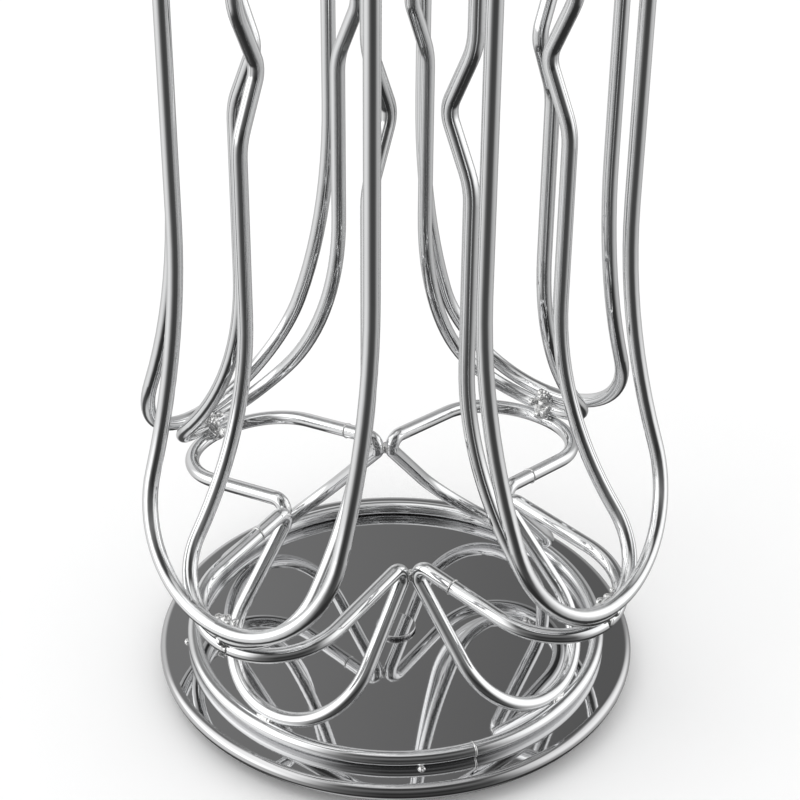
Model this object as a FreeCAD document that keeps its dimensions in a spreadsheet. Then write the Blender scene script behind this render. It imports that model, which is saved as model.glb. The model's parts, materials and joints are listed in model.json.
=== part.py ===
"""Revolving wire tower for flat drinks capsules: four columns of bent wire on a turning base.

The frame: +Z up, origin on the turning axis at the underside of the feet. The four columns face
-Y (front), +X (right), +Y (back) and -X (left). Every wire is laid out for the front column and
turned about the axis for the others. In a column's own terms a point has a side (to +X on the
front column), a reach (distance out from the turning axis) and a height above the plate.
"""
import FreeCAD, Part
import math
import os
import Sketcher

Vector = FreeCAD.Vector
AXIS = Vector(0, 0, 1)
SAME_SPOT = 1e-6
VOLUME_SLACK = 0.01
NUT_SIDES = 6

# Driving dimensions, in millimetres and degrees.
DIMENSIONS = {
    # wire and welds
    "wire_dia": 4.8,
    "weld_gap": 0.12,
    "root_bead_thin": 0.2,
    "foot_bead_thin": 1.4,
    "foot_bead_wide": 9.0,
    "tack_thin": 2.0,
    "top_bead_thin": 1.2,
    "hoop_bead_wide": 9.6,
    "hoop_bead_deep": 6.6,
    "hoop_bead_short": 2.76,
    "hoop_bead_inset": 1.6,
    "seam_gap": 0.8,
    "seam_proud": 0.25,
    # rubber feet and foot plate
    "foot_tall": 3.0,
    "foot_dia": 15.0,
    "foot_base_dia": 13.5,
    "foot_stem_dia": 5.0,
    "foot_stem_play": 0.1,
    "foot_button_dia": 7.5,
    "foot_button_tall": 1.4,
    "foot_inset": 11.0,
    "foot_plate_inset": 17.0,
    "foot_plate_gauge": 1.2,
    # ball race
    "ball_dia": 5.0,
    "ball_play": 0.04,
    "pocket_play": 0.15,
    "race_radius": 36.0,
    "groove_deep": 0.6,
    "cage_gauge": 1.2,
    "cage_wide": 10.0,
    "race_plate_dia": 88.0,
    "race_plate_gauge": 1.2,
    # turntable dish
    "dish_dia": 160.0,
    "dish_gauge": 1.0,
    "rim_roll": 2.8,
    # pivot
    "rivet_dia": 6.0,
    "rivet_play": 0.06,
    "rivet_foot_dia": 12.0,
    "rivet_foot_tall": 1.2,
    "rivet_head_dia": 13.6,
    "rivet_head_tall": 0.9,
    "rivet_head_round": 0.45,
    "washer_inset": 0.6,
    "washer_gauge": 0.5,
    "washer_play": 0.1,
    # base ring and petals
    "ring_inset": 11.8,
    "ring_seat": 45.0,
    "petal_slope": 49.0,
    "petal_droop": 9.8,
    "petal_root_half": 23.9,
    "petal_lobe_half": 24.4,
    "petal_foot_half": 27.4,
    "petal_overhang": 14.7,
    "hairpin_bend": 3.4,
    "root_gap": 0.7,
    "petal_seam_reach": 41.0,
    # outer hoops
    "outer_half": 36.8,
    "outer_inset": 9.7,
    "outer_flare": 21.0,
    "outer_lean": 30.0,
    "outer_tall": 350.0,
    # inner hoops
    "inner_half": 23.8,
    "inner_inset": 24.4,
    "inner_flare": 40.6,
    "inner_lean": 10.0,
    "kink_height": 209.5,
    "kink_half": 20.5,
    "kink_deep": 9.0,
    "kink_bend": 9.0,
    "kink_end_bend": 22.0,
    "shoulder_drop": 28.0,
    "shoulder_bend": 16.0,
    "crown_rise": 22.0,
    # top ring, hub and knob
    "top_ring_drop": 6.0,
    "leg_end_gap": 0.307,
    "hub_tall": 8.0,
    "hub_round": 1.5,
    "hub_bite": 2.0,
    "knob_dia": 24.0,
    "neck_dia": 9.0,
    "neck_tall": 5.0,
    "stud_dia": 5.0,
    "stud_play": 0.05,
    "stud_deep": 12.0,
    "nut_across": 8.0,
    "nut_tall": 4.0,
    "end_straight": 0.3,
}
BALL_COUNT = 16
FOOT_COUNT = 4
COLUMNS = {"front": 0, "right": 90, "back": 180, "left": 270}

# Sizes that follow from the driving ones.
FOOT_PLATE_RADIUS = "(dims.dish_dia / 2 - dims.foot_plate_inset)"
FOOT_CIRCLE = f"({FOOT_PLATE_RADIUS} - dims.foot_inset)"
RING_RADIUS = "(dims.dish_dia / 2 - dims.ring_inset)"
PETAL_REACH = f"({RING_RADIUS} + dims.petal_overhang)"
OUTER_REACH = f"({RING_RADIUS} - dims.outer_inset)"
INNER_REACH = f"({RING_RADIUS} - dims.inner_inset)"
SHOULDER_HEIGHT = "(dims.outer_tall - dims.shoulder_drop)"
TOP_RING_HEIGHT = "(dims.outer_tall - dims.top_ring_drop)"
LEG_SPREAD = f"(45 deg - atan(dims.inner_half / {INNER_REACH}))"
LEG_END_RADIUS = f"((dims.wire_dia + dims.leg_end_gap) / 2 / sin({LEG_SPREAD}))"
HUB_RADIUS = f"({LEG_END_RADIUS} + dims.hub_bite)"
ROOT_BEAD = "dims.wire_dia - dims.root_bead_thin"
FOOT_BEAD = "dims.wire_dia - dims.foot_bead_thin"
TACK_DIA = "dims.wire_dia - dims.tack_thin"
TOP_BEAD = "dims.wire_dia - dims.top_bead_thin"
HOOP_BEAD_TALL = "3 * (dims.wire_dia + dims.weld_gap) - dims.hoop_bead_short"

# Heights that follow from the stack of pieces between the floor and the plate.
FOOT_TOP = "dims.foot_tall"
PLATE_TOP = "dims.foot_tall + dims.foot_plate_gauge"
BALL_RISE = "dims.ball_dia / 2 + dims.ball_play - dims.groove_deep"
BALL_LEVEL = f"{PLATE_TOP} + {BALL_RISE}"
RACE_LEVEL = f"{BALL_LEVEL} + {BALL_RISE}"
DISH_UNDER = f"{RACE_LEVEL} + dims.race_plate_gauge"
DISH_TOP = f"{DISH_UNDER} + dims.dish_gauge"

doc = FreeCAD.newDocument("capsule_tower")
sheet = doc.addObject("Spreadsheet::Sheet", "dims")
for row, (alias, value) in enumerate(DIMENSIONS.items(), start=1):
    sheet.set(f"A{row}", alias)
    sheet.set(f"B{row}", str(value))
    sheet.setAlias(f"B{row}", alias)
doc.recompute()
PARTS = []


def value(expression):
    """The number that an expression over the sheet comes to."""
    result = sheet.evalExpression(expression)
    return float(getattr(result, "Value", result))


def keep(piece, label):
    """Name a finished sub-part and list it for export."""
    piece.Label = label
    PARTS.append(piece)
    return piece


# ---------------------------------------------------------------- sketches and turned pieces


def plane_of(body, role):
    """A body's own origin plane or axis, found by its role."""
    return next(part for part in body.Origin.OriginFeatures if part.Role == role)


def new_sketch(body, name, role, lift=None):
    """An empty sketch flat on one of the body's origin planes."""
    sketch = body.newObject("Sketcher::SketchObject", name)
    sketch.AttachmentSupport = [(plane_of(body, role), "")]
    sketch.MapMode = "FlatFace"
    if lift:
        sketch.setExpression("AttachmentOffset.Base.z", lift)
    return sketch


def bind(sketch, kind, geometry, place, expression):
    """Hold one end point's distance from the origin, or a radius, to an expression."""
    number = value(expression)
    if kind == "Radius":
        index = sketch.addConstraint(Sketcher.Constraint(kind, geometry, number))
    else:
        index = sketch.addConstraint(Sketcher.Constraint(kind, -1, 1, geometry, place, number))
    sketch.setExpression(f"Constraints[{index}]", expression)


def outline(sketch, corners):
    """Close a profile through corners, each (across, up) or (across, up, radius, bulge side).

    A corner with a radius is reached from the one before it by an arc of that radius; a bulge
    side of 1 puts the arc's centre to the left of the chord, and -1 to its right.
    """
    count = len(corners)
    first = sketch.GeometryCount
    spots = [Vector(value(corner[0]), value(corner[1]), 0) for corner in corners]
    for index in range(count):
        start = spots[index]
        end = spots[(index + 1) % count]
        target = corners[(index + 1) % count]
        if len(target) == 2:
            sketch.addGeometry(Part.LineSegment(start, end))
            continue
        radius = value(target[2])
        chord = end - start
        left = Vector(-chord.y, chord.x, 0).normalize()
        drop = math.sqrt(radius**2 - (chord.Length / 2) ** 2)
        through = (start + end) / 2 + left * ((drop - radius) * target[3])
        sketch.addGeometry(Part.Arc(start, through, end))
    for index in range(count):
        here = first + index
        after = first + (index + 1) % count
        end_place = nearest_end(sketch, here, spots[(index + 1) % count])
        next_place = nearest_end(sketch, after, spots[(index + 1) % count])
        sketch.addConstraint(Sketcher.Constraint("Coincident", here, end_place, after, next_place))
        start_place = nearest_end(sketch, here, spots[index])
        bind(sketch, "DistanceX", here, start_place, corners[index][0])
        bind(sketch, "DistanceY", here, start_place, corners[index][1])
        target = corners[(index + 1) % count]
        if len(target) > 2:
            bind(sketch, "Radius", here, 0, target[2])


def nearest_end(sketch, geometry, spot):
    """Which end of a sketch edge, 1 or 2, lies at a spot."""
    return 1 if (sketch.getPoint(geometry, 1) - spot).Length < SAME_SPOT else 2


def turned_body(label, corners, holes=()):
    """A piece turned about the axis, with round holes through it.

    corners is its half section as (radius, height) expressions. Each hole is
    (diameter, circle radius, count).
    """
    body = doc.addObject("PartDesign::Body", label)
    sketch = new_sketch(body, label + "_profile", "XZ_Plane")
    outline(sketch, corners)
    turn = body.newObject("PartDesign::Revolution", label + "_turn")
    turn.Profile = sketch
    turn.ReferenceAxis = (sketch, ["V_Axis"])
    turn.Angle = 360
    doc.recompute()
    for index, (diameter, circle, count) in enumerate(holes):
        drill(body, f"{label}_hole_{index}", diameter, circle, count)
    return keep(body, label)


def drill(body, name, diameter, circle, count):
    """Cut count round holes right through a body, spaced on a circle about the axis."""
    before = body.Shape.Volume
    sketch = new_sketch(body, name + "_sketch", "XY_Plane")
    sketch.addGeometry(Part.Circle(Vector(value(circle), 0, 0), AXIS, value(diameter) / 2))
    index = sketch.addConstraint(Sketcher.Constraint("Diameter", 0, value(diameter)))
    sketch.setExpression(f"Constraints[{index}]", diameter)
    sketch.addConstraint(Sketcher.Constraint("PointOnObject", 0, 3, -1))
    bind(sketch, "DistanceX", 0, 3, circle)
    pocket = body.newObject("PartDesign::Pocket", name)
    pocket.Profile = sketch
    pocket.Type = "ThroughAll"
    pocket.Midplane = True
    doc.recompute()
    pattern = body.newObject("PartDesign::PolarPattern", name + "_pattern")
    pattern.Originals = [pocket]
    pattern.Axis = (plane_of(body, "Z_Axis"), [""])
    pattern.Angle = 360
    pattern.Occurrences = count
    body.Tip = pattern
    doc.recompute()
    cut = before - body.Shape.Volume
    if cut <= 0:
        raise ValueError(f"{name} cuts nothing")


# ---------------------------------------------------------------- bent wires


def bend_setback(radius, before, corner, after):
    """How far from a corner its bend begins, for a bend of this radius."""
    turn = math.pi - (before - corner).getAngle(after - corner)
    return radius * math.tan(turn / 2)


def bent_path(corners):
    """Straight runs joined by tangent arcs. corners are (point, setback), ends with 0."""
    edges = []
    last = corners[0][0]
    for index in range(1, len(corners) - 1):
        corner, setback = corners[index]
        inward = (corners[index - 1][0] - corner).normalize()
        outward = (corners[index + 1][0] - corner).normalize()
        start = corner + inward * setback
        end = corner + outward * setback
        half = (math.pi - inward.getAngle(outward)) / 2
        radius = setback / math.tan(half)
        bisector = (inward + outward).normalize()
        middle = corner + bisector * (radius / math.cos(half) - radius)
        if (start - last).Length > SAME_SPOT:
            edges.append(Part.LineSegment(last, start).toShape())
        edges.append(Part.Arc(start, middle, end).toShape())
        last = end
    edges.append(Part.LineSegment(last, corners[-1][0]).toShape())
    return Part.Wire(edges)


def wire_piece(label, corners, turn):
    """A round wire bent along corners of the front column, then turned to its own column."""
    route = bent_path(corners)
    path = doc.addObject("Part::Feature", label + "_path")
    path.Shape = route
    path.Placement = FreeCAD.Placement(Vector(), FreeCAD.Rotation(AXIS, turn))
    start = corners[0][0]
    heading = (corners[1][0] - start).normalize()
    section = doc.addObject("Part::Circle", label + "_section")
    section.setExpression("Radius", "dims.wire_dia / 2")
    standing = FreeCAD.Placement(start, FreeCAD.Rotation(AXIS, heading))
    section.Placement = path.Placement.multiply(standing)
    sweep = doc.addObject("Part::Sweep", label)
    sweep.Spine = (path, [])
    sweep.Sections = [section]
    sweep.Solid = True
    sweep.Frenet = False
    doc.recompute()
    expected = route.Length * math.pi * (value("dims.wire_dia") / 2) ** 2
    if abs(sweep.Shape.Volume - expected) > expected * VOLUME_SLACK:
        raise ValueError(f"{label} has volume {sweep.Shape.Volume}, not {expected}")
    return keep(sweep, label)


def column_point(side, reach, height):
    """A point of the front column from its side, reach and height above the plate."""
    return Vector(side, -reach, value(DISH_TOP) + height)


def mirrored(corners):
    """Add the left half of a wire that runs from its right end over the column's middle."""
    left = [(Vector(-point.x, point.y, point.z), setback) for point, setback in reversed(corners)]
    return corners + left


class Foot:
    """The places where the petals, the hoops and the base ring meet, as (reach, height)."""

    wire = value("dims.wire_dia + dims.weld_gap")
    ring = (value(RING_RADIUS), value("dims.wire_dia / 2"))
    ring_seat = math.radians(value("dims.ring_seat"))
    petal_foot = (ring[0] - wire * math.sin(ring_seat), ring[1] + wire * math.cos(ring_seat))
    slope = math.radians(value("dims.petal_slope"))
    droop = math.radians(value("dims.petal_droop"))
    bend = value("dims.hairpin_bend")
    root_reach = value("dims.petal_root_half + (dims.wire_dia + dims.root_gap) / sqrt(2)")
    bend_reach = bend * math.cos((slope + droop) / 2) / math.sin((slope - droop) / 2)
    corner_reach = root_reach + bend - bend_reach
    corner_height = petal_foot[1] + (petal_foot[0] - corner_reach) * math.tan(slope)
    lobe_reach = value(PETAL_REACH)
    lobe = (lobe_reach, corner_height - (lobe_reach - corner_reach) * math.tan(droop))
    inner_lean = math.radians(value("dims.inner_lean"))
    inner = (lobe[0] + wire * math.sin(inner_lean), lobe[1] + wire * math.cos(inner_lean))
    outer_lean = math.radians(value("dims.outer_lean"))
    outer = (inner[0] + wire * math.sin(outer_lean), inner[1] + wire * math.cos(outer_lean))
    bend_level = corner_height - bend * math.sin((slope + droop) / 2) / math.sin((slope - droop) / 2)


def petal_corners():
    """One closed loop: a level lobe, a hairpin at each root, and a slanting foot on the ring."""
    straight = value("dims.end_straight")
    root = column_point(value("dims.petal_root_half"), Foot.corner_reach, Foot.corner_height)
    lobe = column_point(value("dims.petal_lobe_half"), *Foot.lobe)
    foot = column_point(value("dims.petal_foot_half"), *Foot.petal_foot)
    right = [
        (lobe, lobe.x - straight),
        (root, bend_setback(Foot.bend, lobe, root, foot)),
        (foot, foot.x - straight),
    ]
    loop = mirrored(right)
    left_lobe = loop.pop()
    left_root = loop[-1][0]
    arm = (left_lobe[0] - left_root).normalize()
    along = (value("dims.petal_seam_reach") - Foot.corner_reach) / abs(arm.y)
    gap = arm * (value("dims.seam_gap") / 2)
    seam = left_root + arm * along
    return [(seam + gap, 0), left_lobe] + loop + [(seam - gap, 0)], seam, arm


def hoop_foot(half, reach, flare, bottom):
    """The flare corner and the bottom corner on the right of a hoop."""
    run = (bottom[0] - reach) / math.sin(flare)
    straight = value("dims.end_straight")
    flare_height = bottom[1] + run * math.cos(flare)
    return [
        (column_point(half, reach, flare_height), run - half - straight),
        (column_point(half, *bottom), half - straight),
    ]


def outer_corners():
    """Two straight legs that flare outwards and meet in a round bottom."""
    half = value("dims.outer_half")
    reach = value(OUTER_REACH)
    top = (column_point(half, reach, value("dims.outer_tall")), 0)
    flare = math.radians(value("dims.outer_flare"))
    return mirrored([top] + hoop_foot(half, reach, flare, Foot.outer))


def inner_corners():
    """Legs that start at the hub, turn down a shoulder, kink inwards once, and flare to a hoop."""
    half = value("dims.inner_half")
    reach = value(INNER_REACH)
    shoulder = value(SHOULDER_HEIGHT)
    kink = value("dims.kink_height")
    kink_half = value("dims.kink_half")
    spread = math.hypot(half, reach)
    hub = value(LEG_END_RADIUS) / spread
    points = [
        column_point(half * hub, reach * hub, shoulder + value("dims.crown_rise")),
        column_point(half, reach, shoulder),
        column_point(half, reach, kink + kink_half),
        column_point(half, reach - value("dims.kink_deep"), kink),
        column_point(half, reach, kink - kink_half),
    ]
    flare = math.radians(value("dims.inner_flare"))
    foot = hoop_foot(half, reach, flare, Foot.inner)
    bends = ["shoulder_bend", "kink_end_bend", "kink_bend", "kink_end_bend"]
    route = points + [foot[0][0]]
    corners = [(points[0], 0)]
    for index, bend in enumerate(bends, start=1):
        setback = bend_setback(value(f"dims.{bend}"), *route[index - 1 : index + 2])
        corners.append((route[index], setback))
    return mirrored(corners + foot)


# ---------------------------------------------------------------- groups of like pieces


def group(label, pieces):
    """Several separate solids under one name."""
    compound = doc.addObject("Part::Compound", label)
    compound.Links = pieces
    doc.recompute()
    return keep(compound, label)


def bead(name, point, turn, wide, deep=None, tall=None, lean=0):
    """A lump of weld metal at a point of the front column, turned to its own place.

    wide, deep and tall are its expressions across, out and up; lean tips its top outwards.
    """
    lump = doc.addObject("Part::Ellipsoid", name)
    lump.Angle1 = -90
    lump.Angle2 = 90
    for radius, across in (("Radius2", wide), ("Radius3", deep or wide), ("Radius1", tall or wide)):
        lump.setExpression(radius, f"({across}) / 2")
    spin = FreeCAD.Placement(Vector(), FreeCAD.Rotation(AXIS, turn))
    tip = FreeCAD.Rotation(Vector(1, 0, 0), lean)
    lump.Placement = spin.multiply(FreeCAD.Placement(point, tip))
    return lump


def around(name, count, circle, kind, **sizes):
    """count like primitives on a circle about the axis, with their sizes as expressions."""
    pieces = []
    for index in range(count):
        piece = doc.addObject(kind, f"{name}_{index}")
        for key, expression in sizes.items():
            piece.setExpression(key.replace("height", "Placement.Base.z"), expression)
        angle = 360 / count * index
        piece.setExpression("Placement.Base.x", f"{circle} * cos({angle} deg)")
        piece.setExpression("Placement.Base.y", f"{circle} * sin({angle} deg)")
        pieces.append(piece)
    return pieces


# ---------------------------------------------------------------- the standing base


def make_feet():
    """Rubber feet pushed through the foot plate, each with a tapered pad, a stem and a button."""
    spot = FOOT_CIRCLE
    pads = around(
        "foot_pad", FOOT_COUNT, spot, "Part::Cone",
        Radius1="dims.foot_base_dia / 2", Radius2="dims.foot_dia / 2", Height="dims.foot_tall",
    )
    stems = around(
        "foot_stem", FOOT_COUNT, spot, "Part::Cylinder",
        Radius="dims.foot_stem_dia / 2", Height=PLATE_TOP,
    )
    buttons = around(
        "foot_button", FOOT_COUNT, spot, "Part::Cylinder",
        Radius="dims.foot_button_dia / 2", Height="dims.foot_button_tall", height=PLATE_TOP,
    )
    feet = []
    for index, pieces in enumerate(zip(pads, stems, buttons)):
        foot = doc.addObject("Part::MultiFuse", f"foot_{index}")
        foot.Shapes = list(pieces)
        foot.Refine = True
        feet.append(foot)
    return group("rubber_feet", feet)


def make_foot_plate():
    """Round steel plate with the lower ball groove and holes for the rivet and the feet."""
    groove_half = groove_half_width()
    return turned_body(
        "foot_plate",
        [
            ("dims.rivet_dia / 2 + dims.rivet_play", FOOT_TOP),
            (FOOT_PLATE_RADIUS, FOOT_TOP),
            (FOOT_PLATE_RADIUS, PLATE_TOP),
            (f"dims.race_radius + {groove_half}", PLATE_TOP),
            (f"dims.race_radius - {groove_half}", PLATE_TOP, "dims.ball_dia / 2 + dims.ball_play", -1),
            ("dims.rivet_dia / 2 + dims.rivet_play", PLATE_TOP),
        ],
        holes=[("dims.foot_stem_dia + 2 * dims.foot_stem_play", FOOT_CIRCLE, FOOT_COUNT)],
    )


def groove_half_width():
    """Half the width of a ball groove where it opens, as an expression."""
    radius = "(dims.ball_dia / 2 + dims.ball_play)"
    return f"sqrt({radius} ^ 2 - ({radius} - dims.groove_deep) ^ 2)"


def make_rivet():
    """Pivot rivet: a flat foot under the foot plate, a shank, and a low flat head over its washer."""
    head_under = f"{DISH_TOP} + dims.washer_play + dims.washer_gauge"
    head_top = f"{head_under} + dims.rivet_head_tall"
    half = "dims.rivet_head_dia / 2"
    return turned_body(
        "pivot_rivet",
        [
            ("0", f"{FOOT_TOP} - dims.rivet_foot_tall"),
            ("dims.rivet_foot_dia / 2", f"{FOOT_TOP} - dims.rivet_foot_tall"),
            ("dims.rivet_foot_dia / 2", FOOT_TOP),
            ("dims.rivet_dia / 2", FOOT_TOP),
            ("dims.rivet_dia / 2", head_under),
            (half, head_under),
            (half, f"{head_top} - dims.rivet_head_round"),
            (f"{half} - dims.rivet_head_round", head_top, "dims.rivet_head_round", 1),
            ("0", head_top),
        ],
    )


def make_washer():
    """Thin washer between the rivet's head and the dish, a little smaller than the head."""
    under = f"{DISH_TOP} + dims.washer_play"
    edge = "dims.rivet_head_dia / 2 - dims.washer_inset"
    return turned_body(
        "pivot_washer",
        [
            ("dims.rivet_dia / 2", under),
            (edge, under),
            (edge, f"{under} + dims.washer_gauge"),
            ("dims.rivet_dia / 2", f"{under} + dims.washer_gauge"),
        ],
    )


# ---------------------------------------------------------------- the ball race


def make_cage():
    """Flat ring that keeps the balls evenly spaced."""
    under = f"{BALL_LEVEL} - dims.cage_gauge / 2"
    over = f"{BALL_LEVEL} + dims.cage_gauge / 2"
    return turned_body(
        "ball_cage",
        [
            ("dims.race_radius - dims.cage_wide / 2", under),
            ("dims.race_radius + dims.cage_wide / 2", under),
            ("dims.race_radius + dims.cage_wide / 2", over),
            ("dims.race_radius - dims.cage_wide / 2", over),
        ],
        holes=[("dims.ball_dia + 2 * dims.pocket_play", "dims.race_radius", BALL_COUNT)],
    )


def make_balls():
    """Bearing balls in the cage's pockets."""
    balls = []
    for index in range(BALL_COUNT):
        ball = doc.addObject("Part::Sphere", f"ball_{index}")
        angle = 360 / BALL_COUNT * index
        ball.setExpression("Radius", "dims.ball_dia / 2")
        ball.setExpression("Placement.Base.x", f"dims.race_radius * cos({angle} deg)")
        ball.setExpression("Placement.Base.y", f"dims.race_radius * sin({angle} deg)")
        ball.setExpression("Placement.Base.z", BALL_LEVEL)
        balls.append(ball)
    return group("bearing_balls", balls)


def make_race_plate():
    """Plate under the dish with the upper ball groove."""
    groove_half = groove_half_width()
    return turned_body(
        "race_plate",
        [
            ("dims.rivet_dia / 2 + dims.rivet_play", RACE_LEVEL),
            (f"dims.race_radius - {groove_half}", RACE_LEVEL),
            (f"dims.race_radius + {groove_half}", RACE_LEVEL, "dims.ball_dia / 2 + dims.ball_play", -1),
            ("dims.race_plate_dia / 2", RACE_LEVEL),
            ("dims.race_plate_dia / 2", DISH_UNDER),
            ("dims.rivet_dia / 2 + dims.rivet_play", DISH_UNDER),
        ],
    )


# ---------------------------------------------------------------- the turning rack


def make_dish():
    """Pressed round plate whose edge is rolled down and under."""
    inner_roll = "(dims.rim_roll - dims.dish_gauge)"
    flat = "dims.dish_dia / 2 - dims.rim_roll"
    roll_middle = f"{DISH_TOP} - dims.rim_roll"
    return turned_body(
        "turntable_dish",
        [
            ("dims.rivet_dia / 2 + dims.rivet_play", DISH_UNDER),
            (flat, DISH_UNDER),
            ("dims.dish_dia / 2 - dims.dish_gauge", roll_middle, inner_roll, -1),
            (flat, f"{roll_middle} - {inner_roll}", inner_roll, -1),
            (flat, f"{roll_middle} - dims.rim_roll"),
            ("dims.dish_dia / 2", roll_middle, "dims.rim_roll", 1),
            (flat, DISH_TOP, "dims.rim_roll", 1),
            ("dims.rivet_dia / 2 + dims.rivet_play", DISH_TOP),
        ],
    )


def ring(label, radius, height):
    """A closed ring of the wire about the axis."""
    piece = doc.addObject("Part::Torus", label)
    piece.setExpression("Radius1", radius)
    piece.setExpression("Radius2", "dims.wire_dia / 2")
    piece.setExpression("Placement.Base.z", height)
    doc.recompute()
    return keep(piece, label)


def make_petals():
    """Four petal loops, each closed by a butt weld, standing on the base ring."""
    corners, seam, arm = petal_corners()
    seams = []
    for column, turn in COLUMNS.items():
        wire_piece(f"petal_{column}", corners, turn)
        weld = doc.addObject("Part::Cylinder", f"seam_{column}")
        weld.setExpression("Radius", "dims.wire_dia / 2 + dims.seam_proud")
        weld.setExpression("Height", "dims.seam_gap")
        start = seam - arm * value("dims.seam_gap / 2")
        standing = FreeCAD.Placement(start, FreeCAD.Rotation(AXIS, arm))
        spin = FreeCAD.Placement(Vector(), FreeCAD.Rotation(AXIS, turn))
        weld.Placement = spin.multiply(standing)
        seams.append(weld)
    group("petal_seams", seams)


def make_hoops():
    """The outer and the inner hoop of every column."""
    for column, turn in COLUMNS.items():
        wire_piece(f"outer_hoop_{column}", outer_corners(), turn)
    for column, turn in COLUMNS.items():
        wire_piece(f"inner_hoop_{column}", inner_corners(), turn)


def make_welds():
    """Weld beads where the wires meet, and the tacks that hold the ring to the dish."""
    root_side = value("dims.petal_root_half + (dims.wire_dia + dims.root_gap) / sqrt(2) / 2")
    root = column_point(root_side, root_side, Foot.bend_level)
    meeting = [(a + b) / 2 for a, b in zip(Foot.petal_foot, Foot.ring)]
    foot = column_point(0, *meeting)
    stack_lean = math.atan2(Foot.outer[0] - Foot.lobe[0], Foot.outer[1] - Foot.lobe[1])
    inset = value("dims.hoop_bead_inset")
    stack = column_point(
        0,
        (Foot.outer[0] + Foot.lobe[0]) / 2 - inset * math.cos(stack_lean),
        (Foot.outer[1] + Foot.lobe[1]) / 2 + inset * math.sin(stack_lean),
    )
    tack_side = value(f"{RING_RADIUS} + dims.wire_dia / 2") / math.sqrt(2)
    tack = column_point(tack_side, tack_side, 0)
    root_beads = []
    foot_beads = []
    hoop_beads = []
    tacks = []
    for column, turn in COLUMNS.items():
        root_beads.append(bead(f"root_bead_{column}", root, turn, ROOT_BEAD))
        foot_beads.append(
            bead(
                f"foot_bead_{column}", foot, turn,
                "dims.foot_bead_wide", FOOT_BEAD, FOOT_BEAD,
            )
        )
        hoop_beads.append(
            bead(
                f"hoop_bead_{column}", stack, turn,
                "dims.hoop_bead_wide", "dims.hoop_bead_deep", HOOP_BEAD_TALL,
                lean=math.degrees(stack_lean),
            )
        )
        tacks.append(bead(f"tack_{column}", tack, turn, TACK_DIA))
    group("petal_root_welds", root_beads)
    group("petal_foot_welds", foot_beads)
    group("hoop_welds", hoop_beads)
    group("ring_tacks", tacks)


def make_top_ring():
    """Ring around the tops of the outer legs, with a weld bead at each leg."""
    leg = f"sqrt(dims.outer_half ^ 2 + {OUTER_REACH} ^ 2)"
    height = f"{DISH_TOP} + {TOP_RING_HEIGHT}"
    ring("top_ring", f"{leg} + dims.wire_dia + dims.weld_gap", height)
    between = value(f"{leg} + (dims.wire_dia + dims.weld_gap) / 2") / value(leg)
    side = value("dims.outer_half") * between
    reach = value(OUTER_REACH) * between
    beads = []
    for column, turn in COLUMNS.items():
        for name, sign in (("right", 1), ("left", -1)):
            point = column_point(sign * side, reach, value(TOP_RING_HEIGHT))
            beads.append(bead(f"top_bead_{column}_{name}", point, turn, TOP_BEAD))
    group("top_ring_welds", beads)


def make_finial():
    """Hub that the inner legs are welded to, with a ball knob held by a stud and a nut."""
    hub_middle = f"{DISH_TOP} + {SHOULDER_HEIGHT} + dims.crown_rise"
    hub_under = f"{hub_middle} - dims.hub_tall / 2"
    hub_top = f"{hub_middle} + dims.hub_tall / 2"
    bore = "dims.stud_dia / 2 + dims.stud_play"
    turned_body(
        "top_hub",
        [
            (bore, hub_under),
            (f"{HUB_RADIUS} - dims.hub_round", hub_under),
            (HUB_RADIUS, f"{hub_under} + dims.hub_round", "dims.hub_round", 1),
            (HUB_RADIUS, f"{hub_top} - dims.hub_round"),
            (f"{HUB_RADIUS} - dims.hub_round", hub_top, "dims.hub_round", 1),
            (bore, hub_top),
        ],
    )
    ball_start = "sqrt(dims.knob_dia ^ 2 - dims.neck_dia ^ 2) / 2"
    ball_centre = f"{hub_top} + dims.neck_tall + {ball_start}"
    turned_body(
        "finial_knob",
        [
            (bore, hub_top),
            ("dims.neck_dia / 2", hub_top),
            ("dims.neck_dia / 2", f"{hub_top} + dims.neck_tall"),
            ("dims.knob_dia / 2", ball_centre, "dims.knob_dia / 2", 1),
            ("0", f"{ball_centre} + dims.knob_dia / 2", "dims.knob_dia / 2", 1),
            ("0", f"{hub_top} + dims.stud_deep"),
            (bore, f"{hub_top} + dims.stud_deep"),
        ],
    )
    stud = doc.addObject("Part::Cylinder", "finial_stud")
    stud.setExpression("Radius", "dims.stud_dia / 2")
    stud.setExpression("Height", "dims.stud_deep + dims.hub_tall + dims.nut_tall + dims.stud_dia / 2")
    stud.setExpression("Placement.Base.z", f"{hub_under} - dims.nut_tall - dims.stud_dia / 2")
    keep(stud, "finial_stud")
    make_nut(hub_under, bore)


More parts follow.
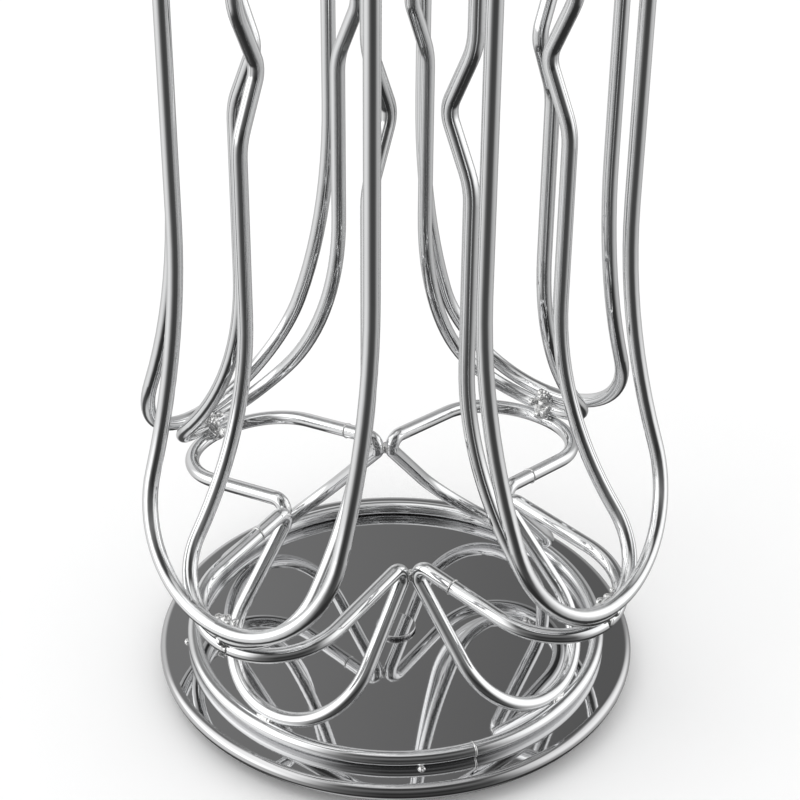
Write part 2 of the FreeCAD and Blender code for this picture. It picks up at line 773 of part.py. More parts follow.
def make_nut(seat, bore):
    """Hexagon nut that pulls the stud down against the hub."""
    body = doc.addObject("PartDesign::Body", "finial_nut")
    sketch = new_sketch(body, "finial_nut_section", "XY_Plane", f"{seat} - dims.nut_tall")
    apothem = value("dims.nut_across / 2")
    corner = apothem / math.cos(math.pi / NUT_SIDES)
    spots = []
    for index in range(NUT_SIDES):
        angle = math.tau / NUT_SIDES * index
        spots.append(Vector(corner * math.cos(angle), corner * math.sin(angle), 0))
    guide = sketch.addGeometry(Part.Circle(Vector(), AXIS, corner), True)
    sketch.addConstraint(Sketcher.Constraint("Coincident", guide, 3, -1, 1))
    for index in range(NUT_SIDES):
        sketch.addGeometry(Part.LineSegment(spots[index], spots[(index + 1) % NUT_SIDES]))
    for index in range(NUT_SIDES):
        here = guide + 1 + index
        after = guide + 1 + (index + 1) % NUT_SIDES
        sketch.addConstraint(Sketcher.Constraint("Coincident", here, 2, after, 1))
        sketch.addConstraint(Sketcher.Constraint("PointOnObject", here, 1, guide))
        if index:
            sketch.addConstraint(Sketcher.Constraint("Equal", guide + 1, here))
    sketch.addConstraint(Sketcher.Constraint("PointOnObject", guide + 1, 1, -1))
    across = sketch.addConstraint(Sketcher.Constraint("Diameter", guide, 2 * corner))
    sketch.setExpression(f"Constraints[{across}]", f"dims.nut_across / cos(180 deg / {NUT_SIDES})")
    sketch.addGeometry(Part.Circle(Vector(), AXIS, value(bore)))
    hole = sketch.GeometryCount - 1
    sketch.addConstraint(Sketcher.Constraint("Coincident", hole, 3, -1, 1))
    size = sketch.addConstraint(Sketcher.Constraint("Radius", hole, value(bore)))
    sketch.setExpression(f"Constraints[{size}]", bore)
    pad = body.newObject("PartDesign::Pad", "finial_nut_pad")
    pad.Profile = sketch
    pad.setExpression("Length", "dims.nut_tall")
    doc.recompute()
    return keep(body, "finial_nut")


def check_and_export():
    """Stop on any failed object, then write every sub-part to its own file."""
    doc.recompute()
    for item in doc.Objects:
        if "Invalid" in item.State or "Error" in item.State:
            raise ValueError(f"{item.Label} did not build: {item.State}")
    os.makedirs("parts", exist_ok=True)
    for piece in PARTS:
        if piece.Shape.isNull() or not piece.Shape.isValid():
            raise ValueError(f"{piece.Label} has no valid shape")
        piece.Shape.exportStep(f"parts/{piece.Label}.step")
        print(f"{piece.Label}: {len(piece.Shape.Solids)} solids, {piece.Shape.Volume:.0f} mm3")


make_feet()
make_foot_plate()
make_rivet()
make_washer()
make_cage()
make_balls()
make_race_plate()
make_dish()
ring("base_ring", RING_RADIUS, f"{DISH_TOP} + dims.wire_dia / 2")
make_petals()
make_hoops()
make_welds()
make_top_ring()
make_finial()
check_and_export()
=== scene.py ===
"""Looks of a revolving wire tower for flat drinks capsules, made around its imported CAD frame.

The bent chrome wires, the knob, the bearing and the feet are the CAD nodes themselves, with
finishes of their own. The turning dish is spun here again from its section, so that its mirror is
even all round. The weld beads, tacks and butt seams are modelled here too: the CAD holds them as
plain beads, and real ones are craggy nuggets and thin flashes of squeezed-out metal.
Lengths are in metres, in the frame's own axes: +Z up, the turning axis at the origin.
"""

import json
import logging
import math
import random
from dataclasses import dataclass, field
from enum import Enum

import bmesh
import bpy
import numpy as np
from mathutils import Matrix, Vector, noise

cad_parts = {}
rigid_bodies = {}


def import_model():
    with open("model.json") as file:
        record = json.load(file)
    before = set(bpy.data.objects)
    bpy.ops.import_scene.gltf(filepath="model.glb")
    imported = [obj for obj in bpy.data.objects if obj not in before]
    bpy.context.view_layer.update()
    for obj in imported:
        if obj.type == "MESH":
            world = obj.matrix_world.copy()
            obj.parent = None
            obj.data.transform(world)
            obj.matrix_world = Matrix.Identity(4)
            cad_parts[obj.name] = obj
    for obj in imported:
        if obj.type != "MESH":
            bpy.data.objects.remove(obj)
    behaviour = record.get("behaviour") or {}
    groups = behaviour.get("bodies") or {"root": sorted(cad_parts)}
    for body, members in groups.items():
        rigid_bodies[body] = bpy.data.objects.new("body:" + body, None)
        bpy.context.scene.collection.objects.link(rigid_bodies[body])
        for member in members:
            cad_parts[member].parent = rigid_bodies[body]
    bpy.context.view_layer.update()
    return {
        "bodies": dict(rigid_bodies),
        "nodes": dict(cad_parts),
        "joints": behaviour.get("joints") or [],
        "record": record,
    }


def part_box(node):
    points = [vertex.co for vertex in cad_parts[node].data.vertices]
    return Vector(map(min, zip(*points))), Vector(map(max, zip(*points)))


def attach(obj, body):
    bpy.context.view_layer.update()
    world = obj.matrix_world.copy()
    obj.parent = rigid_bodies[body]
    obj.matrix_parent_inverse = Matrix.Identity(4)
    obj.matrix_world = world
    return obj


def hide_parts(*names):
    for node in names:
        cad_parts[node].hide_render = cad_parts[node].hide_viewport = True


LOG = logging.getLogger("capsule_tower")
MM = 0.001
UP = Vector((0.0, 0.0, 1.0))
WHITE = (1.0, 1.0, 1.0, 1.0)
LEAST_LEVEL = 0.02  # keeps a division by a direction's level length safe near straight up and down


class Slot(Enum):
    """The record's material slots."""

    CHROME = "chrome"
    PLATE = "plate_chrome"
    WELD = "weld"
    ZINC = "zinc"
    BALL = "ball_steel"
    RUBBER = "rubber"


# ---------------------------------------------------------------- node helpers


@dataclass
class NodeSheet:
    """A node tree with short calls to add and join its nodes."""

    tree: bpy.types.NodeTree

    def add(self, kind: str, **settings: object) -> bpy.types.Node:
        """Add a node of the given kind.

        Args:
            kind: the node's type name, such as "ShaderNodeTexNoise".
            settings: attributes of the node to set.

        Returns:
            The new node.
        """
        node = self.tree.nodes.new(kind)
        for name, value in settings.items():
            setattr(node, name, value)
        return node

    def join(self, source: bpy.types.NodeSocket, target: bpy.types.NodeSocket) -> None:
        """Link an output socket to an input socket."""
        self.tree.links.new(source, target)

    def reckon(self, kind: str, first: object, second: object = None) -> bpy.types.NodeSocket:
        """Add a Math node over sockets or numbers.

        Args:
            kind: the operation, such as "MULTIPLY".
            first: a socket or a number.
            second: a socket, a number or nothing.

        Returns:
            The node's output.
        """
        node = self.add("ShaderNodeMath", operation=kind)
        for socket, given in zip(node.inputs, (first, second)):
            if given is None:
                continue
            if isinstance(given, (int, float)):
                socket.default_value = given
            else:
                self.join(given, socket)
        return node.outputs["Value"]

    def noise(self, place: bpy.types.NodeSocket, size: float, detail: float = 3.0) -> bpy.types.NodeSocket:
        """Add a noise whose blotches are about `size` metres across, over `place`.

        Args:
            place: the coordinates to read.
            size: the blotch size in metres.
            detail: how many finer octaves it carries.

        Returns:
            The noise's factor.
        """
        node = self.add("ShaderNodeTexNoise")
        node.inputs["Scale"].default_value = 1.0 / size
        node.inputs["Detail"].default_value = detail
        self.join(place, node.inputs["Vector"])
        return node.outputs["Fac"]

    def spread(
        self,
        source: bpy.types.NodeSocket,
        low: float,
        high: float,
        start: float = 0.3,
        end: float = 0.7,
        smooth: bool = False,
    ) -> bpy.types.NodeSocket:
        """Map a factor between start and end to the range from low to high.

        Args:
            source: the factor.
            low: the result at start.
            high: the result at end.
            start: the factor that gives low.
            end: the factor that gives high.
            smooth: ease in and out between the two.

        Returns:
            The mapped value.
        """
        node = self.add("ShaderNodeMapRange", interpolation_type="SMOOTHSTEP" if smooth else "LINEAR")
        self.join(source, node.inputs["Value"])
        node.inputs["From Min"].default_value = start
        node.inputs["From Max"].default_value = end
        node.inputs["To Min"].default_value = low
        node.inputs["To Max"].default_value = high
        return node.outputs["Result"]

    def blend(
        self, factor: bpy.types.NodeSocket, first: object, second: object
    ) -> bpy.types.NodeSocket:
        """Mix two colours, each a socket or a tuple.

        Args:
            factor: 0 gives the first colour and 1 the second.
            first: a colour socket or an RGB tuple.
            second: a colour socket or an RGB tuple.

        Returns:
            The mixed colour.
        """
        node = self.add("ShaderNodeMix", data_type="RGBA")
        self.join(factor, node.inputs["Factor"])
        for socket, given in ((node.inputs[6], first), (node.inputs[7], second)):
            if isinstance(given, tuple):
                socket.default_value = (*given, 1.0)
            else:
                self.join(given, socket)
        return node.outputs[2]

    def bump(
        self, height: bpy.types.NodeSocket, deep: float, under: bpy.types.NodeSocket | None = None
    ) -> bpy.types.NodeSocket:
        """Turn a height into a shading normal.

        Args:
            height: the height factor.
            deep: how deep the relief is, in metres.
            under: a normal that this relief lies on.

        Returns:
            The normal.
        """
        node = self.add("ShaderNodeBump")
        node.inputs["Strength"].default_value = 1.0
        node.inputs["Distance"].default_value = deep
        self.join(height, node.inputs["Height"])
        if under is not None:
            self.join(under, node.inputs["Normal"])
        return node.outputs["Normal"]


# ---------------------------------------------------------------- finishes


@dataclass(frozen=True)
class Finish:
    """What every finish has: a name, two shades it drifts between and a range of roughness."""

    name: str
    shade: tuple[float, float, float]
    dull_shade: tuple[float, float, float]
    smooth: float
    rough: float
    cloud: float
    metal: float = 1.0

    def material(self) -> bpy.types.Material:
        """Make the finish's material.

        Returns:
            A node material over Object coordinates.
        """
        made = bpy.data.materials.new(self.name)
        made.use_nodes = True
        sheet = NodeSheet(made.node_tree)
        shader = made.node_tree.nodes["Principled BSDF"]
        shader.inputs["Metallic"].default_value = self.metal
        place = sheet.add("ShaderNodeTexCoord").outputs["Object"]
        clouds = sheet.noise(place, self.cloud)
        sheet.join(sheet.blend(clouds, self.shade, self.dull_shade), shader.inputs["Base Color"])
        sheet.join(self.gloss(sheet, place, clouds), shader.inputs["Roughness"])
        sheet.join(self.relief(sheet, place), shader.inputs["Normal"])
        return made

    def gloss(
        self, sheet: NodeSheet, place: bpy.types.NodeSocket, clouds: bpy.types.NodeSocket
    ) -> bpy.types.NodeSocket:
        """The roughness: from smooth to rough with the clouds.

        Args:
            sheet: the node tree.
            place: Object coordinates.
            clouds: the finish's large blotches.

        Returns:
            The roughness value.
        """
        return sheet.spread(clouds, self.smooth, self.rough)

    def relief(self, sheet: NodeSheet, place: bpy.types.NodeSocket) -> bpy.types.NodeSocket:
        """The relief's normal.

        Args:
            sheet: the node tree.
            place: Object coordinates.

        Returns:
            The normal.
        """
        raise NotImplementedError


@dataclass(frozen=True)
class WireChrome(Finish):
    """Bright chrome over drawn wire: long soft waves, fine pits and faint handling haze."""

    wave: float = 9 * MM
    wave_deep: float = 0.035 * MM
    pit: float = 0.5 * MM
    pit_deep: float = 0.0022 * MM

    def relief(self, sheet: NodeSheet, place: bpy.types.NodeSocket) -> bpy.types.NodeSocket:
        """Waves left by the bending, with the fine pits of the plating on them."""
        waves = sheet.bump(sheet.noise(place, self.wave, detail=1.0), self.wave_deep)
        return sheet.bump(sheet.noise(place, self.pit, detail=2.0), self.pit_deep, under=waves)


@dataclass(frozen=True)
class DishChrome(Finish):
    """Dark mirror plating on spun sheet: faint turning rings, rubbing marks and a soft wobble."""

    ring_pitch: float = 0.9 * MM
    ring_deep: float = 0.00012 * MM
    wobble: float = 45 * MM
    wobble_deep: float = 0.012 * MM
    scratch: float = 1.6 * MM
    scratch_haze: float = 0.02
    scratch_from: float = 0.55
    scratch_to: float = 0.8
    ring_stray: float = 1.5
    ring_detail: float = 2.0

    def gloss(
        self, sheet: NodeSheet, place: bpy.types.NodeSocket, clouds: bpy.types.NodeSocket
    ) -> bpy.types.NodeSocket:
        """Smooth plating that rubbing marks make hazier in short curved streaks."""
        rubbing = sheet.noise(place, self.scratch, detail=6.0)
        streaks = sheet.spread(rubbing, 0.0, self.scratch_haze, self.scratch_from, self.scratch_to)
        return sheet.reckon("ADD", super().gloss(sheet, place, clouds), streaks)

    def relief(self, sheet: NodeSheet, place: bpy.types.NodeSocket) -> bpy.types.NodeSocket:
        """Turning rings about the axis, on a wide and very shallow wobble."""
        rings = sheet.add("ShaderNodeTexWave", wave_type="RINGS", rings_direction="Z")
        rings.inputs["Scale"].default_value = 1.0 / self.ring_pitch / math.tau
        rings.inputs["Distortion"].default_value = self.ring_stray
        rings.inputs["Detail"].default_value = self.ring_detail
        sheet.join(place, rings.inputs["Vector"])
        wobble = sheet.bump(sheet.noise(place, self.wobble, detail=0.0), self.wobble_deep)
        return sheet.bump(rings.outputs["Fac"], self.ring_deep, under=wobble)


@dataclass(frozen=True)
class CastMetal(Finish):
    """Metal with a grain: weld nuggets, stamped zinc plate and ground steel balls."""

    grain: float = 0.6 * MM
    grain_deep: float = 0.05 * MM
    spangle: float = 0.0

    def relief(self, sheet: NodeSheet, place: bpy.types.NodeSocket) -> bpy.types.NodeSocket:
        """Fine grain, and flat crystal faces where the finish has a spangle."""
        grain = sheet.bump(sheet.noise(place, self.grain, detail=4.0), self.grain_deep)
        if not self.spangle:
            return grain
        cells = sheet.add("ShaderNodeTexVoronoi")
        cells.inputs["Scale"].default_value = 1.0 / self.spangle
        sheet.join(place, cells.inputs["Vector"])
        return sheet.bump(cells.outputs["Distance"], self.grain_deep, under=grain)


@dataclass(frozen=True)
class MouldedRubber(Finish):
    """Black moulded rubber with a fine bloom and a matt spark-eroded grain."""

    metal: float = 0.0
    grain: float = 0.35 * MM
    grain_deep: float = 0.03 * MM

    def relief(self, sheet: NodeSheet, place: bpy.types.NodeSocket) -> bpy.types.NodeSocket:
        """The mould's grain."""
        return sheet.bump(sheet.noise(place, self.grain, detail=3.0), self.grain_deep)


FINISHES: dict[Slot, Finish] = {
    Slot.CHROME: WireChrome(
        "bright_wire_chrome", (0.84, 0.845, 0.85), (0.78, 0.785, 0.79), 0.02, 0.06, 30 * MM
    ),
    Slot.PLATE: DishChrome(
        "dark_dish_chrome", (0.62, 0.62, 0.625), (0.58, 0.58, 0.585), 0.008, 0.022, 60 * MM
    ),
    Slot.WELD: CastMetal(
        "weld_nugget", (0.90, 0.90, 0.90), (0.70, 0.70, 0.69), 0.06, 0.24, 2 * MM,
        grain=0.9 * MM, grain_deep=0.06 * MM, spangle=1.4 * MM,
    ),
    Slot.ZINC: CastMetal(
        "zinc_plate", (0.62, 0.63, 0.65), (0.48, 0.49, 0.51), 0.28, 0.45, 14 * MM,
        grain=0.8 * MM, grain_deep=0.01 * MM, spangle=6 * MM,
    ),
    Slot.BALL: CastMetal(
        "ground_ball_steel", (0.72, 0.72, 0.73), (0.64, 0.64, 0.65), 0.06, 0.14, 3 * MM,
        grain=0.3 * MM, grain_deep=0.001 * MM,
    ),
    Slot.RUBBER: MouldedRubber(
        "black_foot_rubber", (0.018, 0.018, 0.018), (0.045, 0.045, 0.043), 0.55, 0.8, 5 * MM
    ),
}


@dataclass
class Paintbox:
    """The finishes, each made once and handed out by slot."""

    made: dict[Slot, bpy.types.Material] = field(default_factory=dict)

    def take(self, slot: Slot) -> bpy.types.Material:
        """Return the slot's material, making it the first time.

        Args:
            slot: the material slot.

        Returns:
            The material.
        """
        if slot not in self.made:
            self.made[slot] = FINISHES[slot].material()
        return self.made[slot]

    def dress(self, piece: bpy.types.Object, slot: Slot) -> None:
        """Give every material slot of a piece the finish."""
        if not piece.material_slots:
            piece.data.materials.append(self.take(slot))
        for held in piece.material_slots:
            held.material = self.take(slot)


# ---------------------------------------------------------------- reading the frame


@dataclass(frozen=True)
class Place:
    """Where one solid of a CAD node lies.

    `turn` holds three unit directions as its columns and `half` the solid's half size along each.
    """

    centre: Vector
    turn: Matrix
    half: Vector

    def matrix(self, fill: float = 1.0) -> Matrix:
        """The matrix that takes a unit ball to the solid's own size and place.

        Args:
            fill: a share of the half sizes.

        Returns:
            A 4x4 matrix.
        """
        size = Matrix.Diagonal((*(self.half * fill), 1.0))
        return Matrix.Translation(self.centre) @ self.turn.to_4x4() @ size


@dataclass(frozen=True)
class NodeSolids:
    """The separate solids of one CAD node."""

    node: bpy.types.Object
    weld_distance: float = 0.001 * MM

    def point_groups(self) -> list[np.ndarray]:
        """The points of each solid, from a merged copy of the node's loose triangles.

        Returns:
            One array of points for each solid.
        """
        bm = bmesh.new()
        bm.from_mesh(self.node.data)
        bmesh.ops.remove_doubles(bm, verts=bm.verts[:], dist=self.weld_distance)
        unseen = set(bm.verts)
        groups = []
        while unseen:
            reached = [unseen.pop()]
            for vert in reached:
                near = [e.other_vert(vert) for e in vert.link_edges]
                fresh = [v for v in near if v in unseen]
                unseen.difference_update(fresh)
                reached.extend(fresh)
            groups.append(np.array([v.co for v in reached]))
        bm.free()
        return sorted(groups, key=lambda points: tuple(np.round(points.mean(0), 5)))

    def outward(self) -> list[Place]:
        """Each solid's place, along the directions out from the turning axis, sideways and up."""
        places = []
        for points in self.point_groups():
            centre = Vector((points.max(0) + points.min(0)) / 2)
            out = Vector((centre.x, centre.y, 0.0)).normalized()
            turn = Matrix((out, UP.cross(out), UP)).transposed()
            places.append(self.measured(points, centre, turn))
        return places

    def along_axis(self) -> list[Place]:
        """Each solid's place, with the third direction along its shortest way through."""
        places = []
        for points in self.point_groups():
            centre = Vector(points.mean(0))
            ways = np.linalg.svd(points - points.mean(0), full_matrices=False)[2]
            first, second = Vector(ways[0]), Vector(ways[1])
            turn = Matrix((first, second, first.cross(second))).transposed()
            places.append(self.measured(points, centre, turn))
        return places

    @staticmethod
    def measured(points: np.ndarray, centre: Vector, turn: Matrix) -> Place:
        """A place with its half sizes measured over the points."""
        reach = np.abs((points - np.array(centre)) @ np.array(turn)).max(0)
        return Place(centre, turn, Vector(reach))


# ---------------------------------------------------------------- welds


@dataclass
class CarouselPiece:
    """A piece that rides on the turning part and stands for CAD nodes or adds to them."""

    name: str
    paints: Paintbox
    slot: Slot = Slot.WELD
    body: str = "carousel"

    def finished(self, bm: bmesh.types.BMesh, stands_for: tuple[str, ...] = ()) -> bpy.types.Object:
        """Turn a bmesh into a smooth, dressed object that rides on its body.

        Args:
            bm: the shape; it is freed.
            stands_for: CAD nodes that this piece hides.

        Returns:
            The object.
        """
        bmesh.ops.recalc_face_normals(bm, faces=bm.faces[:])
        mesh = bpy.data.meshes.new(self.name)
        bm.to_mesh(mesh)
        bm.free()
        mesh.shade_smooth()
        piece = bpy.data.objects.new(self.name, mesh)
        bpy.context.scene.collection.objects.link(piece)
        self.paints.dress(piece, self.slot)
        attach(piece, self.body)
        if stands_for:
            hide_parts(*stands_for)
        LOG.info("%s: %d faces", self.name, len(mesh.polygons))
        return piece


@dataclass
class WeldNuggets(CarouselPiece):
    """Craggy lumps of weld metal, one in each bead of a CAD node."""

    node: bpy.types.Object = None
    crag: float = 2.2 * MM
    crag_deep: float = 0.35
    crag_bite: float = 0.6
    grit: float = 0.7 * MM
    grit_deep: float = 0.08
    subdivisions: int = 5
    fill: float = 0.97

    def build(self) -> bpy.types.Object:
        """Model every lump and hide the plain beads.

        Returns:
            The piece.
        """
        bm = bmesh.new()
        for place in NodeSolids(self.node).outward():
            lump = bmesh.ops.create_icosphere(bm, subdivisions=self.subdivisions, radius=1.0)["verts"]
            for vert in lump:
                vert.co *= self.swell(place.matrix() @ vert.co)
            bmesh.ops.transform(bm, matrix=place.matrix(self.fill), verts=lump)
        return self.finished(bm, stands_for=(self.node.name,))

    def swell(self, spot: Vector) -> float:
        """How far out of a unit ball the surface stands at a spot.

        Args:
            spot: the spot, in metres.

        Returns:
            A share of the radius: crags are flat-sided cells, and grit a finer noise on them.
        """
        cell = noise.voronoi(spot / self.crag)[0]
        crags = min(1.0, cell[1] - cell[0])
        grit = noise.noise(spot / self.grit)
        return 1.0 - self.crag_deep * (1.0 - crags) * self.crag_bite + self.grit_deep * grit


@dataclass
class WeldCluster(CarouselPiece):
    """Heaps of frozen weld drops that bridge the stacked wires, one heap in each bead of a node."""

    node: bpy.types.Object = None
    drops: int = 26
    drop_size: tuple[float, float] = (0.8 * MM, 2.1 * MM)
    spill: float = 1.05
    scatter: tuple[float, float] = (0.55, 1.0)
    squash: tuple[float, float] = (0.7, 1.2)
    held_in: float = 0.85
    core: float = 0.72
    subdivisions: int = 3
    dent: float = 1.5 * MM
    dent_deep: float = 0.16
    seed: int = 11

    def build(self) -> bpy.types.Object:
        """Model every heap and hide the plain beads.

        Returns:
            The piece.
        """
        dice = random.Random(self.seed)
        bm = bmesh.new()
        for place in NodeSolids(self.node).outward():
            self.drop(bm, place.matrix(self.core))
            for _ in range(self.drops):
                way = Vector([dice.gauss(0.0, 1.0) for _ in range(3)]).normalized()
                spot = place.matrix(self.spill * dice.uniform(*self.scatter)) @ way
                spot = self.inside(spot, place)
                size = dice.uniform(*self.drop_size)
                second, third = (size * dice.uniform(*self.squash) for _ in range(2))
                shape = Matrix.Diagonal((size, second, third, 1.0))
                tumble = Matrix.Rotation(dice.uniform(0.0, math.tau), 4, way)
                self.drop(bm, Matrix.Translation(spot) @ tumble @ shape)
        return self.finished(bm, stands_for=(self.node.name,))

    def inside(self, spot: Vector, place: Place) -> Vector:
        """Keep a drop's centre a little within the bead's own size."""
        local = place.turn.transposed() @ (spot - place.centre)
        held = Vector([max(-h, min(h, x)) for x, h in zip(local, place.half * self.held_in)])
        return place.centre + place.turn @ held

    def drop(self, bm: bmesh.types.BMesh, matrix: Matrix) -> None:
        """Add one dented drop.

        Args:
            bm: the bmesh to add to.
            matrix: the drop's size and place.
        """
        verts = bmesh.ops.create_icosphere(bm, subdivisions=self.subdivisions, radius=1.0)["verts"]
        for vert in verts:
            vert.co *= 1.0 + self.dent_deep * noise.noise((matrix @ vert.co) / self.dent)
        bmesh.ops.transform(bm, matrix=matrix, verts=verts)


@dataclass
class SpunDish(CarouselPiece):
    """The pressed round plate with its edge rolled down and under, spun from its half section."""

    slot: Slot = Slot.PLATE
    node: str = "turntable_dish"
    gauge: float = 1.0 * MM
    bore: float = 3.06 * MM
    lip: float = 0.15 * MM
    roll_steps: int = 20
    turns: int = 288

    def build(self) -> bpy.types.Object:
        """Spin the section about the axis.

        Returns:
            The piece.
        """
        bm = bmesh.new()
        verts = [bm.verts.new((out, 0.0, up)) for out, up in self.section()]
        edges = [bm.edges.new(pair) for pair in zip(verts, verts[1:] + verts[:1])]
        bmesh.ops.spin(
            bm, geom=verts + edges, cent=(0, 0, 0), axis=UP, angle=math.tau,
            steps=self.turns, use_merge=True, use_duplicate=False,
        )
        return self.finished(bm, stands_for=(self.node,))

    def section(self) -> list[tuple[float, float]]:
        """The half section as (distance out, height), with a close loop beside each change of slope."""
        low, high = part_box(self.node)
        roll = (high.z - low.z) / 2
        flat = high.x - roll
        middle = high.z - roll
        inner = roll - self.gauge
        top = [(self.bore, high.z), (self.bore + self.lip, high.z), (flat - self.lip, high.z)]
        below = high.z - self.gauge
        under = [(flat - self.lip, below), (self.bore + self.lip, below), (self.bore, below)]
        outside = self.arc(flat, middle, roll, 90.0)
        inside = self.arc(flat, middle, inner, -90.0)
        return top + outside + inside + under

    def arc(self, out: float, up: float, radius: float, start: float) -> list[tuple[float, float]]:
        """Half a circle over the outer side, from `start` degrees to its opposite."""
        angles = [math.radians(start * (1 - 2 * i / self.roll_steps)) for i in range(self.roll_steps + 1)]
        return [(out + radius * math.cos(angle), up + radius * math.sin(angle)) for angle in angles]


@dataclass
class WireFlash(CarouselPiece):
    """Thin uneven collars of squeezed-out metal where a wire's two ends were butt welded."""

    places: list[Place] = field(default_factory=list)
    wire_dia: float = 4.8 * MM
    stands_for: tuple[str, ...] = ()
    proud: float = 0.30 * MM
    wide: float = 0.9 * MM
    ragged: float = 0.16 * MM
    ragged_size: float = 1.3 * MM
    segments: int = 48

    def build(self) -> bpy.types.Object:
        """Model every collar.

        Returns:
            The piece.
        """
        bm = bmesh.new()
        for place in self.places:
            collar = self.collar(bm)
            for vert in collar:
                spot = place.turn @ vert.co + place.centre
                outer = Vector((vert.co.x, vert.co.y, 0.0))
                if outer.length > self.wire_dia / 2:
                    vert.co += outer.normalized() * noise.noise(spot / self.ragged_size) * self.ragged
            matrix = Matrix.Translation(place.centre) @ place.turn.to_4x4()
            bmesh.ops.transform(bm, matrix=matrix, verts=collar)
        return self.finished(bm, self.stands_for)

    def collar(self, bm: bmesh.types.BMesh) -> list[bmesh.types.BMVert]:
        """Spin a low ridge round the third axis, with its foot inside the wire.

        Args:
            bm: the bmesh to add to.

        Returns:
            The collar's vertices.
        """
        root = self.wire_dia / 2 - self.proud / 2
        crest = self.wire_dia / 2 + self.proud
        ridge = ((root, -self.wide / 2), (crest - self.proud / 3, -self.wide / 4), (crest, 0.0),
                 (crest - self.proud / 3, self.wide / 4), (root, self.wide / 2))
        verts = [bm.verts.new((out, 0.0, along)) for out, along in ridge]
        edges = [bm.edges.new(pair) for pair in zip(verts, verts[1:] + verts[:1])]
        before = set(bm.verts) - set(verts)
        bmesh.ops.spin(
            bm, geom=verts + edges, cent=(0, 0, 0), axis=UP, angle=math.tau,
            steps=self.segments, use_merge=True, use_duplicate=False,
        )
        return [v for v in bm.verts if v not in before]


# ---------------------------------------------------------------- the object


@dataclass
class CapsuleTower:
    """The whole tower: CAD nodes in their finishes, and the modelled welds."""

    frame: dict
    paints: Paintbox = field(default_factory=Paintbox)
    ring_seam_azimuth: float = math.radians(59.5)
    top_seam_azimuth: float = math.radians(200.0)

    def dress_nodes(self) -> None:
        """Give each CAD node its slot's finish."""
        for name, node in self.frame["nodes"].items():
            slot = Slot(node.data.materials[0].name.split(".")[0])
            self.paints.dress(node, slot)
            LOG.info("%s wears %s", name, slot.value)

    def nugget(self, node: str, **sizes: object) -> WeldNuggets:
        """A weld piece over a CAD node of beads.

        Args:
            node: the CAD node's name.
            sizes: fields of WeldNuggets that differ from the usual.

        Returns:
            The piece's builder.
        """
        return WeldNuggets(f"{node}_nuggets", self.paints, node=self.frame["nodes"][node], **sizes)

    def ring_place(self, node: str, azimuth: float) -> Place:
        """The place of a seam on a ring, at an azimuth from the front towards the right.

        Args:
            node: the ring's CAD node.
            azimuth: the angle in radians.

        Returns:
            The place, with its third direction along the wire.
        """
        low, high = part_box(node)
        radius = high.x - (high.z - low.z) / 2
        out = Vector((math.sin(azimuth), -math.cos(azimuth), 0.0))
        centre = out * radius + UP * (low.z + high.z) / 2
        turn = Matrix((out, UP, out.cross(UP))).transposed()
        return Place(centre, turn, Vector((1.0, 1.0, 1.0)))

    def build(self) -> None:
        """Dress the nodes and build every weld."""
        self.dress_nodes()
        low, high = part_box("base_ring")
        wire = high.z - low.z
        SpunDish("spun_dish", self.paints).build()
        WeldCluster("hoop_weld_heaps", self.paints, node=self.frame["nodes"]["hoop_welds"]).build()
        self.nugget("petal_root_welds", crag=1.6 * MM, crag_deep=0.25).build()
        self.nugget("petal_foot_welds", crag=2.0 * MM, crag_deep=0.25).build()
        self.nugget("ring_tacks", crag=1.2 * MM, crag_deep=0.30).build()
        self.nugget("top_ring_welds", crag=1.6 * MM, crag_deep=0.25).build()
        WireFlash(
            "petal_seam_flash", self.paints,
            places=NodeSolids(self.frame["nodes"]["petal_seams"]).along_axis(),
            wire_dia=wire, stands_for=("petal_seams",),
        ).build()
        WireFlash(
            "base_ring_flash", self.paints, places=[self.ring_place("base_ring", self.ring_seam_azimuth)],
            wire_dia=wire,
        ).build()
        WireFlash(
            "top_ring_flash", self.paints, places=[self.ring_place("top_ring", self.top_seam_azimuth)],
            wire_dia=wire,
        ).build()


# ---------------------------------------------------------------- studio


@dataclass(frozen=True)
class Surround:
    """A column of light levels from straight down to straight up, for one side of the studio.

    Each entry is an elevation in degrees and the level there.
    """

    levels: tuple[tuple[float, float], ...]

    def ramp(self, sheet: NodeSheet, height: bpy.types.NodeSocket, peak: float) -> bpy.types.NodeSocket:
        """Add a colour ramp of the levels over the sine of the elevation.

        Args:
            sheet: the world's node tree.
            height: the sine of the elevation, moved to 0..1.
            peak: the level that the ramp's white stands for.

        Returns:
            The ramp's colour.
        """
        node = sheet.add("ShaderNodeValToRGB")
        elements = node.color_ramp.elements
        while len(elements) < len(self.levels):
            elements.new(0.5)
        for element, (elevation, level) in zip(elements, self.levels):
            element.position = (math.sin(math.radians(elevation)) + 1.0) / 2.0
            element.color = (level / peak, level / peak, level / peak, 1.0)
        sheet.join(height, node.inputs["Fac"])
        return node.outputs["Color"]


@dataclass(frozen=True)
class Softbox:
    """A soft upright light: its azimuth right of the camera, and where it is full and where gone.

    `full` and `gone` are degrees to either side of the azimuth; `glow` is its levels by elevation.
    """

    azimuth: float
    full: float
    gone: float
    glow: Surround


